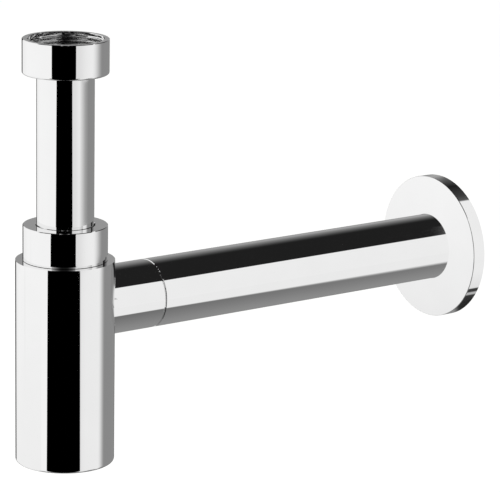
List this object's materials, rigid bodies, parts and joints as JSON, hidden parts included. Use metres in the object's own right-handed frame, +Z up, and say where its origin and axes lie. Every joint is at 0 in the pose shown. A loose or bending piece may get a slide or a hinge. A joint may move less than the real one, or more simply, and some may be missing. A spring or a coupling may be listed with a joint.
{
  "type": "basin trap",
  "caption": "Chromed bottle trap for a wash basin: union nut, telescopic inlet tube, collar nut, round cup and a straight outlet with wall rosette.",
  "frame": {"origin": "centre of the union nut's mouth, where the basin waste's thread enters", "axes": "+Z up along the inlet tube, +X along the outlet to the wall, +Y to the left of someone looking along +X"},
  "size_m": [0.3168, 0.0856, 0.2405],
  "materials": {
    "chromed_brass": "polished, chromium plated brass",
    "rubber": "moulded black rubber",
    "white_plastic": "moulded, off-white"
  },
  "bodies": {
    "inlet_tube": {"inlet_tube": "chromed_brass", "inlet_washer": "rubber"},
    "union_slip_ring": {"union_slip_ring": "white_plastic"},
    "union_nut": {"union_nut": "chromed_brass"},
    "collar_seal": {"collar_seal": "rubber"},
    "trap_body": {"trap_body": "chromed_brass", "dip_tube": "white_plastic", "socket_ring_inner": "rubber", "socket_ring_outer": "rubber", "sleeve_seating_ring": "rubber"},
    "collar_slip_ring": {"collar_slip_ring": "white_plastic"},
    "collar_nut": {"collar_nut": "chromed_brass"},
    "plug_seal_ring": {"plug_seal_ring": "rubber"},
    "bottom_plug": {"bottom_plug": "chromed_brass"},
    "outlet_pipe": {"outlet_pipe": "chromed_brass"},
    "cover_sleeve": {"cover_sleeve": "chromed_brass", "sleeve_centring_ring": "white_plastic"},
    "wall_rosette": {"wall_rosette": "chromed_brass", "rosette_grip_ring": "rubber"}
  },
  "joints": [
    {"name": "height_slide", "type": "slide", "parent": "inlet_tube", "child": "collar_seal", "axis": [0, 0, 1], "range_m": [-0.03, 0.03]},
    {"name": "body_swivel", "type": "hinge", "parent": "collar_seal", "child": "trap_body", "pos_m": [0, 0, -0.1515], "axis": [0, 0, 1], "continuous": true},
    {"name": "union_drop", "type": "slide", "parent": "inlet_tube", "child": "union_slip_ring", "axis": [0, 0, 1], "range_m": [-0.04, 0]},
    {"name": "union_turn", "type": "hinge", "parent": "union_slip_ring", "child": "union_nut", "pos_m": [0, 0, -0.01], "axis": [0, 0, 1], "continuous": true},
    {"name": "collar_turn", "type": "hinge", "parent": "collar_slip_ring", "child": "collar_nut", "pos_m": [0, 0, -0.11], "axis": [0, 0, 1], "range_deg": [0, 2160]},
    {"name": "collar_lift", "type": "slide", "parent": "trap_body", "child": "collar_slip_ring", "axis": [0, 0, 1], "range_m": [0, 0.0091]},
    {"name": "plug_turn", "type": "hinge", "parent": "plug_seal_ring", "child": "bottom_plug", "pos_m": [0, 0, -0.23], "axis": [0, 0, -1], "range_deg": [0, 1800]},
    {"name": "plug_drop", "type": "slide", "parent": "trap_body", "child": "plug_seal_ring", "axis": [0, 0, -1], "range_m": [0, 0.0076]},
    {"name": "pipe_slide", "type": "slide", "parent": "trap_body", "child": "outlet_pipe", "axis": [1, 0, 0], "range_m": [0, 0.01]},
    {"name": "sleeve_slide", "type": "slide", "parent": "outlet_pipe", "child": "cover_sleeve", "axis": [1, 0, 0], "range_m": [0, 0.025]},
    {"name": "rosette_slide", "type": "slide", "parent": "cover_sleeve", "child": "wall_rosette", "axis": [1, 0, 0], "range_m": [-0.2, 0]}
  ],
  "couplings": [
    {"joint": "collar_lift", "follows": "collar_turn", "m_per_rad": 0.00023873},
    {"joint": "plug_drop", "follows": "plug_turn", "m_per_rad": 0.00023873}
  ]
}
